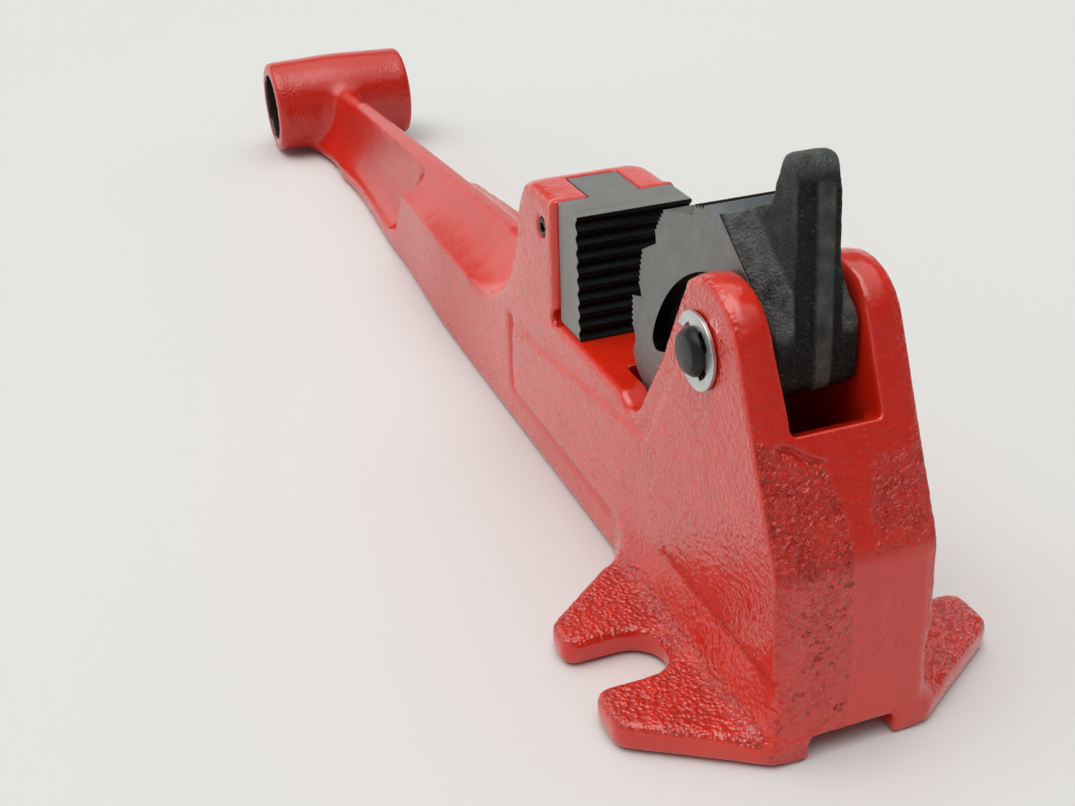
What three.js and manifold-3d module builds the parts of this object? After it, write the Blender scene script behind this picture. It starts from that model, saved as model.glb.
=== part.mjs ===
// Pipe vise with a toothed cam lever, in millimetres, +Z up. It stands on z = 0.
// X runs from the cross boss at the far end to the near face, Y along the gripped pipe.
// The casting is worked out around the pivot pin (x = 0), then the whole group is centred on its box.
import * as THREE from 'three';
import { mergeVertices } from 'three/addons/utils/BufferGeometryUtils.js';
import Module from 'manifold-3d';

const wasm = await Module();
wasm.setup();

// Pipes that the vise grips, outside diameters, from the largest tooth group to the smallest.
const pipeDiameters = [42.7, 34.0, 27.2, 21.7];

// Clearances and cuts
const runningGap = 0.3;        // between parts that turn or slide on each other
const seatGap = 0.3;           // between a part and the face that it rests on
const cutOverrun = 4;          // how far every cut runs past the faces that it opens
const roomShare = 0.6;         // most of a side that one rounded corner may take

// Pivot pin and its rings
const pinDiameter = 10;
const pinHeight = 75.8;        // pin axis above the ground
const pinOverhang = 3.4;       // pin end beyond the face of an ear
const pinChamfer = 0.8;
const grooveDepth = 1;
const ringThickness = 0.8;
const ringDiameter = 16;
const ringMouth = 6.4;         // opening of the E ring
const ringPocket = 11.6;       // inner relief of the E ring
const ringProngWidth = 2.6;
const prongRootShare = 1.5;    // a prong widens at its root by this share

// Cam lever
const camWidth = 18.8;
const hubRadius = 12;
const nearFaceReach = 14;      // near face of the lever below the finger, from the pin axis
const nearFaceDrop = 5.5;      // it turns under this far below the pin axis
const nearFaceRadius = 4;
const toothBite = 0.9;         // how deep the teeth of the jaw sink into a pipe
const gripMargin = 0.5;        // a tooth group starts this much short of its pipe
const firstGroupTrim = 0.8;    // the group for the largest pipe is lower still
const groupRise = 2.3;         // radius gained along one tooth group
const camToothPitch = 1.3;
const camToothDepth = 0.65;
const camCrestShare = 0.25;    // crest and valley of a cam tooth, as shares of its pitch
const camValleyShare = 0.85;
const groupSpansDeg = [[124, 134], [155, 167], [176, 188], [191, 200]];
const reliefDrop = 0.9;        // dip behind a tooth group before the next step
const reliefLagDeg = 2.6;
const lobeMargin = 1.6;        // plain end of the lobe, proud of the last tooth group
const lobeSpanDeg = [205.5, 210];
const lobeTurnDeg = 215;
const lobeTurnShare = 0.96;
const lobeEndDeg = 226;
const lobeEndShare = 0.78;
const ridgeDrop = 0.1;         // ridge of the flat top, below the first tooth
const topFlatLength = 3.3;
const topFlatSlopeDeg = 45;
const fingerHeight = 39.6;     // tip above the pin axis
const fingerWidth = 9.4;
const fingerDepth = 6.6;
const fingerLean = 3.2;        // how much the near face of the finger leans back over its height
const fingerTipRadius = 3;
const fingerNeckHeight = 33.3; // the back of the finger sweeps out below here
const fingerNeckSweep = 0.8;
const fingerRootHeight = 27.8;
const fingerRootSweep = 3.3;
const camShoulderHeight = 26.5; // top of the lever beside the finger
const camShoulderReach = 3;
const camBrowRise = 2.1;       // the cast top starts this much above the flat of the cam
const camBrowShare = 0.75;
const flareReach = 9.36;       // a point of the line where the machined sides end
const flareHeight = 23.1;
const flareLeanDeg = 54;       // direction square to that line
const fingerFlare = 12;        // depth of the hollow sweep from the cam side to the finger
const pocketDepth = 3.4;       // cast pocket in each side of the cam
const pocketRadius = 41.2;     // its outer side is one arc
const pocketCentreReach = 0.8; // centre of that arc, from the pin axis
const pocketCentreDrop = 29.5;
const pocketSpanDeg = [108, 156];
const pocketFootReach = 40.4;  // lower corner of the pocket
const pocketFootDrop = 19.3;
const pocketFootRadius = 3;
const pocketHubRadius = 15.5;  // hub left standing around the pin
const pocketHubSpanDeg = [222, 146];

// Fixed jaw
const jawSetback = 69.9;       // tooth tips to the pin axis
const jawWidth = 30.1;
const jawHeight = 31.7;
const jawLean = 1.1;           // how far the foot of the tooth face stands proud of its top
const jawHeadThickness = 12;
const jawStemWidth = 13.3;
const jawStemDepth = 15;
const jawToothDepth = 1.3;
const jawToothCount = 9;
const crestShare = 0.2;        // flat crest of a jaw tooth, as a share of the pitch
const valleyShare = 0.6;
const rollPinDiameter = 4.6;
const rollPinBore = 2.6;
const rollPinSlit = 0.8;
const rollPinDrop = 9;         // below the top of the jaw

// Casting: floor, ears, near wall
const floorHeight = 46.5;
const earThickness = 8;
const padRise = 0.9;           // raised panel and ears over the plain sides
const castingEdge = 1.6;       // rounded edge of the casting
const earRadius = 14.4;
const earShiftX = 2.2;         // ear centre from the pin axis
const earShiftZ = 1.2;
const nearLeanDeg = 24;        // slope of the near face below the ears
const earSlopeDeg = 27;        // slope of the ear on the jaw side
const nearReach = 36.3;        // near face at the ground, from the pin axis
const nearKinkReach = 33.9;
const nearKinkHeight = 43;
const nearKinkRadius = 12;
const nearWallThickness = 6;
const nearWallHeight = 66.3;
const nearWallDrop = 3;        // the top of the near wall slopes down towards the cam
const camSlotReach = 52.5;     // far end of the cam slot, from the pin axis
const floorReach = 41.5;       // end of the flat floor towards the ears
const troughDepth = 2.7;
const troughReach = 36.5;
const troughRadius = 4;
const earFootReach = 31;
const footNotchHeight = 4.8;

// Casting: tower behind the jaw
const towerTopDepth = 21;      // along the top, to the point of its rounded rear corner
const towerRearLeanDeg = 24;
const towerRearRadius = 47;    // hollow that sweeps down to the beam
const towerTopRadius = 7;
const reliefRadius = 2.2;      // relief groove at the foot of the tower

// Casting: raised side panel
const panelReach = 116.5;      // far edge of the panel, from the pin axis
const panelFoot = 12;          // its lower edge above the ground
const panelFootAtLugs = 19;
const panelTopFar = 31.5;
const panelTopMid = 39.5;
const panelTopNear = 42.5;
const panelInset = 7.6;        // from the jaw side edge of the ear
const panelCornerReach = 26;
const panelEdge = 0.8;

// Casting: lugs
const lugReach = 44.3;
const lugThickness = 6.8;
const lugEdge = 1.5;
const lugRootReach = 38.5;
const lugRearTip = 16.8;
const lugFrontTip = 19.5;
const lugCornerRadius = 4.5;
const lugMouthRadius = 3.2;
const lugRootRadius = 9;
const lugSlotWidth = 15.4;
const lugSlotShift = -0.3;     // slot centre from the pin axis
const lugSlotFloor = 23.9;     // inner end of the slot from the middle plane
const gussetWidth = 3.2;       // foot of the sloping wall over the lugs
const gussetEndShare = 0.2;    // what is left of it at the near face

// Casting: beam, arm and boss
const beamHeight = 30.5;
const beamTaperReach = 180;    // the beam keeps its width up to here
const shoulderReach = 238.5;   // top of the shoulder where the arm begins
const shoulderFootReach = 258.5;
const beamSwellReach = 202;    // the side edge starts to sink towards the shoulder here
const shoulderFootEdge = 8.8;  // height of the side edge there
const shoulderFade = 12.8;     // and how much further it keeps falling
const armHalfWidth = 11.3;     // at its narrowest
const armFarHalfWidth = 12.7;
const armWaistReach = 325;
const armEdgeHeight = 5.5;
const beamFullShare = 0.34;    // fullness of the slope between the side edge and the ridge
const armFullShare = 0.12;
const bossRootFullShare = 0.5;
const slopeLiftShare = 0.6;
const ridgeHeightFar = 29.5;
const ridgeHeightNear = 47.5;
const ridgeHalfWidth = 3.6;
const bossReach = 402.6;       // boss axis from the pin axis
const bossDiameter = 40.4;     // at mid length
const bossEndDiameter = 38.6;
const bossLength = 60.2;
const bossEdge = 1.8;
const bossEdgeShare = 0.3;     // where the rounded end has its middle point
const bossBellyShare = 0.12;   // plain length at the middle, of half the boss
const bossBore = 28;           // takes the three quarter inch pipe of a leg
const bossRootHalfWidth = 17;

// Worked out from the sizes above
const slotWidth = camWidth + 2 * runningGap;
const earWidth = slotWidth + 2 * earThickness;
const coreWidth = earWidth - 2 * padRise;
const jawBack = jawSetback + jawHeadThickness;
const towerFace = jawBack + seatGap;
const jawBottom = floorHeight + seatGap;
const jawTop = jawBottom + jawHeight;
const towerRear = towerFace + towerTopDepth;
const towerFoot = towerRear + (jawTop - beamHeight) * Math.tan((towerRearLeanDeg * Math.PI) / 180);
const rollPinReach = towerFace + jawStemDepth / 2;
const rollPinHeight = jawTop - rollPinDrop;
const bossHeight = bossDiameter / 2;
const lengthOverall = nearReach + bossReach + bossDiameter / 2;
const grooveWidth = ringThickness + runningGap;
const weldDistance = lengthOverall / 1e7;

// Outlines

function deg(angle) {
  return THREE.MathUtils.degToRad(angle);
}

function polar(radius, angleDeg) {
  return [radius * Math.cos(deg(angleDeg)), radius * Math.sin(deg(angleDeg))];
}

function arc(cx, cy, radius, fromDeg, toDeg, steps) {
  return Array.from({ length: steps + 1 }, (_, i) => {
    const [x, y] = polar(radius, fromDeg + ((toDeg - fromDeg) * i) / steps);
    return [cx + x, cy + y];
  });
}

// A polygon whose corners [x, y, radius] are rounded where a radius is given, as far as the sides allow.
function rounded(corners, steps = 5) {
  const points = [];
  corners.forEach(([x, y, radius], i) => {
    if (!radius) {
      points.push([x, y]);
      return;
    }
    const corner = new THREE.Vector2(x, y);
    const before = new THREE.Vector2(...corners[(i + corners.length - 1) % corners.length].slice(0, 2));
    const after = new THREE.Vector2(...corners[(i + 1) % corners.length].slice(0, 2));
    const inward = before.clone().sub(corner).normalize();
    const outward = after.clone().sub(corner).normalize();
    const half = Math.acos(THREE.MathUtils.clamp(inward.dot(outward), -1, 1)) / 2;
    const room = Math.min(corner.distanceTo(before), corner.distanceTo(after)) * roomShare;
    const reach = Math.min(radius / Math.tan(half), room);
    const start = corner.clone().addScaledVector(inward, reach);
    const end = corner.clone().addScaledVector(outward, reach);
    for (let k = 0; k <= steps; k += 1) {
      const t = k / steps;
      const weights = [(1 - t) ** 2, 2 * t * (1 - t) * Math.sin(half), t ** 2];
      const total = weights[0] + weights[1] + weights[2];
      points.push([
        (start.x * weights[0] + corner.x * weights[1] + end.x * weights[2]) / total,
        (start.y * weights[0] + corner.y * weights[1] + end.y * weights[2]) / total,
      ]);
    }
  });
  return points;
}

function shapeOf(points, holes = []) {
  const shape = new THREE.Shape(points.map(([x, y]) => new THREE.Vector2(x, y)));
  shape.holes = holes.map((hole) => new THREE.Path(hole.map(([x, y]) => new THREE.Vector2(x, y))));
  return shape;
}

// Solids

function solidOf(geometry) {
  const plain = geometry.index ? geometry.toNonIndexed() : geometry.clone();
  plain.deleteAttribute('normal');
  plain.deleteAttribute('uv');
  const merged = mergeVertices(plain, weldDistance);
  const faces = [];
  for (let i = 0; i < merged.index.count; i += 3) {
    const [a, b, c] = [merged.index.getX(i), merged.index.getX(i + 1), merged.index.getX(i + 2)];
    if (a !== b && b !== c && c !== a) faces.push(a, b, c);
  }
  return new wasm.Manifold(new wasm.Mesh({
    numProp: 3,
    vertProperties: new Float32Array(merged.attributes.position.array),
    triVerts: new Uint32Array(faces),
  }));
}

function geometryOf(solid) {
  const mesh = solid.getMesh();
  const geometry = new THREE.BufferGeometry();
  geometry.setAttribute('position', new THREE.BufferAttribute(new Float32Array(mesh.vertProperties), 3));
  geometry.setIndex(new THREE.BufferAttribute(new Uint32Array(mesh.triVerts), 1));
  geometry.computeVertexNormals();
  return geometry;
}

function extruded(points, depth, edge = 0, holes = []) {
  const geometry = new THREE.ExtrudeGeometry(shapeOf(points, holes), {
    depth: depth - 2 * edge,
    bevelEnabled: edge > 0,
    bevelThickness: edge,
    bevelSize: edge,
    bevelOffset: -edge,
    bevelSegments: 2,
    curveSegments: 1,
  });
  return geometry.translate(0, 0, edge);
}

// A side outline (x, z) made as wide as asked, centred on the middle plane.
function across(points, width, edge = 0, holes = []) {
  return solidOf(extruded(points, width, edge, holes).rotateX(Math.PI / 2).translate(0, width / 2, 0));
}

// A plan outline (x, y) from one height up to another.
function upright(points, from, height, edge = 0) {
  return solidOf(extruded(points, height, edge).translate(0, 0, from));
}

// A round bar along Y, centred on the middle plane.
function barY(radius, length, x, z, sides = 32) {
  return solidOf(new THREE.CylinderGeometry(radius, radius, length, sides).translate(x, 0, z));
}

function boxAt(from, to) {
  const size = to.map((value, i) => value - from[i]);
  const middle = to.map((value, i) => (value + from[i]) / 2);
  return solidOf(new THREE.BoxGeometry(...size).translate(...middle));
}

function joined(solids) {
  return solids.reduce((sum, solid) => sum.add(solid));
}

// Rings of points, each closed, skinned into one closed solid with flat ends.
function loft(rings) {
  const count = rings[0].length;
  const positions = rings.flat().flat();
  const index = [];
  for (let r = 0; r + 1 < rings.length; r += 1) {
    for (let k = 0; k < count; k += 1) {
      const a = r * count + k;
      const b = r * count + ((k + 1) % count);
      index.push(a, b, b + count, a, b + count, a + count);
    }
  }
  const cap = (ring, base, flip) => {
    const flat = ring.map(([, y, z]) => new THREE.Vector2(y, z));
    THREE.ShapeUtils.triangulateShape(flat, []).forEach(([a, b, c]) => {
      index.push(...(flip ? [base + a, base + c, base + b] : [base + a, base + b, base + c]));
    });
  };
  cap(rings[0], 0, true);
  cap(rings[rings.length - 1], (rings.length - 1) * count, false);
  const geometry = new THREE.BufferGeometry();
  geometry.setAttribute('position', new THREE.Float32BufferAttribute(positions, 3));
  geometry.setIndex(index);
  const solid = solidOf(geometry);
  if (solid.volume() < 0) throw new Error('a loft is inside out');
  return solid;
}

// Straight lines between places given as [where, value].
function between(table, where) {
  const next = table.findIndex(([place]) => place >= where);
  if (next < 0) return table[table.length - 1][1];
  if (next === 0) return table[0][1];
  const [x0, v0] = table[next - 1];
  const [x1, v1] = table[next];
  const t = (where - x0) / (x1 - x0);
  const eased = t * t * (3 - 2 * t);
  return v0 + (v1 - v0) * eased;
}

// Casting

const earCentre = [earShiftX, pinHeight + earShiftZ];

function earOutline() {
  return arc(...earCentre, earRadius, nearLeanDeg, 180 - earSlopeDeg, 14);
}

// Where the slope of the near face is at a height, and the jaw side of the ear likewise.
function nearSlopeX(height) {
  const [x, z] = polar(earRadius, nearLeanDeg);
  return earCentre[0] + x + (earCentre[1] + z - height) * Math.tan(deg(nearLeanDeg));
}

function earSlopeX(height) {
  const [x, z] = polar(earRadius, 180 - earSlopeDeg);
  return earCentre[0] + x - (earCentre[1] + z - height) * Math.tan(deg(earSlopeDeg));
}

const kinkX = (nearSlopeX(nearKinkHeight) + nearKinkReach) / 2;

// Side outline of the block: near face, ears, trough, floor, tower and its hollow rear.
function blockOutline() {
  return rounded([
    [-towerFoot - towerRearRadius, 0],
    [nearReach, 0],
    [kinkX, nearKinkHeight, nearKinkRadius],
    [nearSlopeX(nearWallHeight), nearWallHeight],
    ...earOutline(),
    [earSlopeX(nearWallHeight), nearWallHeight],
    [-earFootReach, floorHeight + troughDepth / 2, troughRadius],
    [-troughReach, floorHeight - troughDepth, troughRadius],
    [-floorReach, floorHeight],
    [-towerFace, floorHeight],
    [-towerFace, jawTop],
    [-towerRear, jawTop, towerTopRadius],
    [-towerFoot, beamHeight, towerRearRadius],
    [-towerFoot - towerRearRadius, beamHeight],
  ]);
}

// The raised panel keeps inside the side outline and rises along the ear.
function panelOutline() {
  const inset = panelInset / Math.cos(deg(earSlopeDeg));
  const ear = arc(...earCentre, earRadius - panelEdge / 2, nearLeanDeg, 180 - earSlopeDeg - nearLeanDeg, 10);
  return rounded([
    [-panelReach, panelFoot, panelFoot / 2],
    [-lugRootReach, panelFoot],
    [-lugSlotWidth, panelFootAtLugs],
    [nearReach - castingEdge, panelFootAtLugs],
    [kinkX - panelEdge / 2, nearKinkHeight, nearKinkRadius],
    [nearSlopeX(nearWallHeight) - panelEdge / 2, nearWallHeight],
    ...ear,
    [earSlopeX(nearWallHeight) + inset, nearWallHeight],
    [-panelCornerReach, panelTopNear, troughRadius],
    [-camSlotReach, panelTopMid],
    [-panelReach, panelTopFar, panelFoot / 2],
  ]);
}

function lugOutline(side) {
  const half = lugSlotWidth / 2;
  const slotFrom = lugSlotShift - half;
  const slotTo = lugSlotShift + half;
  const inner = slotWidth / 2;
  const outer = earWidth / 2;
  const points = rounded([
    [-lugRootReach - lugRootRadius, outer - castingEdge],
    [-lugRootReach, outer, lugRootRadius],
    [-lugRearTip, lugReach, lugCornerRadius],
    [slotFrom, lugReach, lugMouthRadius],
    ...arc(lugSlotShift, lugSlotFloor + half, half, 180, 360, 10),
    [slotTo, lugReach, lugMouthRadius],
    [lugFrontTip, lugReach, lugCornerRadius],
    [nearReach, outer],
    [nearReach, inner],
    [-lugRootReach - lugRootRadius, inner],
  ]);
  return side > 0 ? points.slice().reverse() : points.map(([x, y]) => [x, -y]);
}

// The wall slopes out over each lug.
function gusset(side) {
  const foot = lugThickness - lugEdge;
  const profile = [
    [slotWidth / 2 + earThickness / 2, 0],
    [earWidth / 2 + gussetWidth, 0],
    [earWidth / 2 + gussetWidth, foot],
    [coreWidth / 2, panelFootAtLugs],
    [slotWidth / 2 + earThickness / 2, panelFootAtLugs],
  ];
  const ring = (x, share) => profile.map(([y, z]) => {
    const spread = Math.max(y - earWidth / 2, 0) * share;
    return [x, side * (Math.min(y, earWidth / 2) + spread), z];
  });
  const rings = [
    ring(-lugRootReach - lugRootRadius / 2, 0),
    ring(-lugRootReach + lugRootRadius, 1),
    ring(nearReach - lugRootRadius, 1),
    ring(nearReach - castingEdge, gussetEndShare),
  ];
  return loft(side > 0 ? rings : rings.map((points) => points.slice().reverse()));
}

// Half section of the beam and arm at a distance from the pin, from the bottom round to the ridge.
function beamSection(reach) {
  const coreHalf = coreWidth / 2;
  const halfWidth = between([
    [beamTaperReach, coreHalf],
    [(beamTaperReach + armWaistReach) / 2, (coreHalf + armHalfWidth) / 2],
    [armWaistReach, armHalfWidth],
    [bossReach - bossDiameter, armFarHalfWidth],
    [bossReach, bossRootHalfWidth],
  ], reach);
  const sideHeight = between([
    [beamSwellReach, beamHeight],
    [shoulderReach, beamHeight - castingEdge],
    [shoulderFootReach, shoulderFootEdge],
    [shoulderFootReach + shoulderFade, armEdgeHeight],
  ], reach);
  const span = bossReach - bossDiameter / 2 - towerRear;
  const ridge = ridgeHeightNear + ((ridgeHeightFar - ridgeHeightNear) * (reach - towerRear)) / span;
  const fullness = between([
    [shoulderReach, beamFullShare],
    [shoulderFootReach, armFullShare],
    [bossReach - bossDiameter, armFullShare],
    [bossReach, bossRootFullShare],
  ], reach);
  const from = [halfWidth, sideHeight];
  const to = [ridgeHalfWidth, ridge - castingEdge];
  const pull = [
    ridgeHalfWidth + (halfWidth - ridgeHalfWidth) * fullness,
    sideHeight + (ridge - sideHeight) * fullness * slopeLiftShare,
  ];
  const sweep = Array.from({ length: 7 }, (_, i) => {
    const t = i / 6;
    return [0, 1].map((k) => (1 - t) ** 2 * from[k] + 2 * t * (1 - t) * pull[k] + t ** 2 * to[k]);
  });
  return [
    [halfWidth - castingEdge, 0],
    [halfWidth, castingEdge],
    ...sweep,
    [ridgeHalfWidth / 2, ridge],
  ];
}

// Places of the sections, closer together at the shoulder.
function beamStations() {
  const near = towerRear - castingEdge;
  const step = (bossReach - near) / 36;
  const stations = [bossReach];
  let reach = bossReach;
  while (reach > near) {
    const atShoulder = reach > shoulderReach - castingEdge && reach < shoulderFootReach + shoulderFade;
    reach = Math.max(near, reach - (atShoulder ? step / 4 : step));
    stations.push(reach);
  }
  return stations;
}

function beam() {
  const rings = beamStations().map((reach) => {
    const half = beamSection(reach);
    const mirrored = half.map(([y, z]) => [-y, z]).reverse();
    return [...half, ...mirrored].map(([y, z]) => [-reach, y, z]);
  });
  return loft(rings);
}

function boss() {
  const half = bossLength / 2;
  const end = bossEndDiameter / 2;
  const middle = bossEdge * bossEdgeShare;
  const profile = [
    [0, -half],
    [end - bossEdge, -half],
    [end - middle, -half + middle],
    [end, -half + bossEdge],
    [bossDiameter / 2, -half * bossBellyShare],
    [bossDiameter / 2, half * bossBellyShare],
    [end, half - bossEdge],
    [end - middle, half - middle],
    [end - bossEdge, half],
    [0, half],
  ];
  const lathe = new THREE.LatheGeometry(profile.map(([r, y]) => new THREE.Vector2(r, y)), 48);
  return solidOf(lathe.translate(-bossReach, 0, bossHeight));
}

// The slot for the cam runs through the floor and the foot, and opens over the near wall.
function camSlot() {
  const high = pinHeight + fingerHeight;
  const inner = nearReach - nearWallThickness;
  const kink = nearKinkReach - nearWallThickness;
  const top = nearSlopeX(nearWallHeight);
  const points = [
    [-camSlotReach, high],
    [-camSlotReach, -cutOverrun],
    [inner, -cutOverrun],
    [kink, nearKinkHeight],
    [top - nearWallThickness, nearWallHeight - nearWallDrop],
    [top, nearWallHeight],
    [nearReach + cutOverrun, nearWallHeight],
    [nearReach + cutOverrun, high],
  ];
  return across(points, slotWidth);
}

function footNotch() {
  return boxAt(
    [nearReach - nearWallThickness - cutOverrun, -slotWidth / 2, -cutOverrun],
    [nearReach + cutOverrun, slotWidth / 2, footNotchHeight],
  );
}

function jawGroove() {
  const half = jawStemWidth / 2 + seatGap;
  return boxAt(
    [-towerFace - jawStemDepth - seatGap, -half, floorHeight],
    [-towerFace + cutOverrun, half, jawTop + cutOverrun],
  );
}

function bodySolid() {
  const block = across(blockOutline(), coreWidth, castingEdge);
  const panel = across(panelOutline(), earWidth, panelEdge);
  const sides = [-1, 1];
  const lugs = sides.map((side) => upright(lugOutline(side), 0, lugThickness, lugEdge));
  const body = joined([block, panel, beam(), boss(), ...lugs, ...sides.map(gusset)]);
  const cuts = [
    camSlot(),
    footNotch(),
    jawGroove(),
    barY(pinDiameter / 2 + runningGap, earWidth + cutOverrun, 0, pinHeight),
    barY(rollPinDiameter / 2 + seatGap, earWidth + cutOverrun, -rollPinReach, rollPinHeight, 20),
    barY(bossBore / 2, bossLength + cutOverrun, -bossReach, bossHeight, 48),
    barY(reliefRadius, earWidth + cutOverrun, -towerFace, floorHeight + reliefRadius / 2, 16),
  ];
  return body.subtract(joined(cuts));
}

// Fixed jaw: a T in plan, with ridges along the pipe

function jawSolid() {
  const pitch = jawHeight / jawToothCount;
  const back = -jawBack;
  const face = (height) => -jawSetback + (jawLean * (jawTop - height)) / jawHeight;
  const teeth = [];
  for (let i = 0; i < jawToothCount; i += 1) {
    const top = jawTop - i * pitch;
    const crest = top - pitch * crestShare;
    const valley = top - pitch * valleyShare;
    teeth.push([face(top), top], [face(crest), crest], [face(valley) - jawToothDepth, valley]);
  }
  const head = across([[back, jawBottom], [back, jawTop], ...teeth, [face(jawBottom), jawBottom]], jawWidth);
  const half = jawStemWidth / 2;
  const overlap = jawHeadThickness / 2;
  const stem = boxAt([back - jawStemDepth, -half, jawBottom], [back + overlap, half, jawTop]);
  const hole = barY(rollPinDiameter / 2 + seatGap, jawWidth + cutOverrun, -rollPinReach, rollPinHeight, 20);
  return head.add(stem).subtract(hole);
}

function rollPinGeometry() {
  const outer = rollPinDiameter / 2;
  const inner = rollPinBore / 2;
  const gapOuter = THREE.MathUtils.radToDeg(Math.asin(rollPinSlit / 2 / outer));
  const gapInner = THREE.MathUtils.radToDeg(Math.asin(rollPinSlit / 2 / inner));
  const ring = [
    ...arc(0, 0, outer, gapOuter, 360 - gapOuter, 20),
    ...arc(0, 0, inner, 360 - gapInner, gapInner, 20),
  ];
  const length = coreWidth - castingEdge / 2;
  return extruded(ring, length).rotateX(Math.PI / 2).translate(-rollPinReach, length / 2, rollPinHeight);
}

// Cam lever, drawn around the pin axis

// Radius at which the cam meets a pipe that lies on the floor against the jaw.
function gripRadius(diameter) {
  const x = -jawSetback - toothBite + diameter / 2;
  const z = floorHeight + diameter / 2 - pinHeight;
  return Math.hypot(x, z) - diameter / 2;
}

function groupStart(index) {
  return gripRadius(pipeDiameters[index]) - gripMargin - (index === 0 ? firstGroupTrim : 0);
}

function toothGroup(index) {
  const [from, to] = groupSpansDeg[index];
  const start = groupStart(index);
  const arcLength = deg(to - from) * (start + groupRise / 2);
  const count = Math.max(2, Math.round(arcLength / camToothPitch));
  const points = [];
  for (let i = 0; i < count; i += 1) {
    const tip = start + (groupRise * (i + 1 / 2)) / count;
    const step = (to - from) / count;
    points.push(polar(tip, from + step * (i + camCrestShare)));
    points.push(polar(tip - camToothDepth, from + step * (i + camValleyShare)));
  }
  if (index + 1 < groupSpansDeg.length) {
    points.push(polar(start + groupRise - reliefDrop - camToothDepth, to + reliefLagDeg));
  }
  return points;
}

function camOutline() {
  const last = groupStart(pipeDiameters.length - 1) + groupRise;
  const lobe = last + lobeMargin;
  const ridge = polar(groupStart(0) - ridgeDrop, groupSpansDeg[0][0] - reliefLagDeg);
  const valley = [
    ridge[0] + topFlatLength * Math.cos(deg(topFlatSlopeDeg)),
    ridge[1] - topFlatLength * Math.sin(deg(topFlatSlopeDeg)),
  ];
  const frontTop = nearFaceReach - fingerLean;
  const rearTop = frontTop - fingerDepth;
  const brow = valley[0] * camBrowShare - camShoulderReach * (1 - camBrowShare);
  return rounded([
    ...arc(0, 0, hubRadius, -60, -52, 2),
    [nearFaceReach, -nearFaceDrop, nearFaceRadius],
    [nearFaceReach, 0],
    [frontTop, fingerHeight, fingerTipRadius],
    [rearTop, fingerHeight, fingerTipRadius],
    [rearTop - fingerNeckSweep, fingerNeckHeight],
    [rearTop - fingerRootSweep, fingerRootHeight, fingerDepth],
    [-camShoulderReach, camShoulderHeight, fingerTipRadius],
    [brow, valley[1] + camBrowRise],
    valley,
    ridge,
    ...groupSpansDeg.flatMap((_, index) => toothGroup(index)),
    polar(last - camToothDepth - reliefDrop / 2, lobeSpanDeg[0] - reliefLagDeg),
    ...arc(0, 0, lobe, lobeSpanDeg[0], lobeSpanDeg[1], 3),
    polar(lobe * lobeTurnShare, lobeTurnDeg),
    polar(lobe * lobeEndShare, lobeEndDeg),
  ]);
}

// The pocket is a crescent between one long arc and the hub.
function pocketOutline() {
  const [from, to] = pocketSpanDeg;
  return rounded([
    ...arc(-pocketCentreReach, -pocketCentreDrop, pocketRadius, from, to, 12),
    [-pocketFootReach, -pocketFootDrop, pocketFootRadius],
    ...arc(0, 0, pocketHubRadius, ...pocketHubSpanDeg, 8),
  ]);
}

function pocket(side) {
  const depth = pocketDepth + cutOverrun;
  const middle = side * (camWidth / 2 - pocketDepth + depth / 2);
  return solidOf(extruded(pocketOutline(), depth).rotateX(Math.PI / 2).translate(0, middle + depth / 2, 0));
}

// Outline across the line where the machined sides end: full width, a hollow sweep, then the finger.
function flareOutline() {
  const half = camWidth / 2;
  const slim = fingerWidth / 2;
  const reach = fingerHeight * 2;
  const steps = 8;
  const sweep = Array.from({ length: steps + 1 }, (_, i) => {
    const share = i / steps;
    return [fingerFlare * share, slim + (half - slim) * (1 - share) ** 2];
  });
  const side = [[-reach, half], ...sweep, [reach, slim]];
  return [...side, ...side.map(([along, y]) => [along, -y]).reverse()].reverse();
}

// That outline stands on the line, so it is turned to lie square to it.
function flareEnvelope() {
  const reach = fingerHeight * 2;
  const [x, z] = polar(1, flareLeanDeg);
  const turn = new THREE.Matrix4().makeBasis(
    new THREE.Vector3(x, 0, z),
    new THREE.Vector3(0, 1, 0),
    new THREE.Vector3(-z, 0, x),
  );
  const geometry = extruded(flareOutline(), reach * 2).translate(0, 0, -reach);
  return solidOf(geometry.applyMatrix4(turn).translate(-flareReach, 0, flareHeight));
}

function camSolid() {
  const plate = across(camOutline(), camWidth);
  const bore = barY(pinDiameter / 2 + runningGap, camWidth + cutOverrun, 0, 0);
  return plate.intersect(flareEnvelope()).subtract(joined([pocket(-1), pocket(1), bore]));
}

// Pin and rings

function pinGeometry() {
  const half = earWidth / 2 + pinOverhang;
  const groove = earWidth / 2 + seatGap - runningGap / 2;
  const r = pinDiameter / 2;
  const side = [
    [r, 0],
    [r, groove],
    [r - grooveDepth, groove],
    [r - grooveDepth, groove + grooveWidth],
    [r, groove + grooveWidth],
    [r, half - pinChamfer],
    [r - pinChamfer, half],
    [0, half],
  ];
  const mirrored = side.slice(1).reverse().map(([radius, y]) => [radius, -y]);
  const profile = [...mirrored, ...side].map(([radius, y]) => new THREE.Vector2(radius, y));
  return new THREE.LatheGeometry(profile, 36).translate(0, 0, pinHeight);
}

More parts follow.
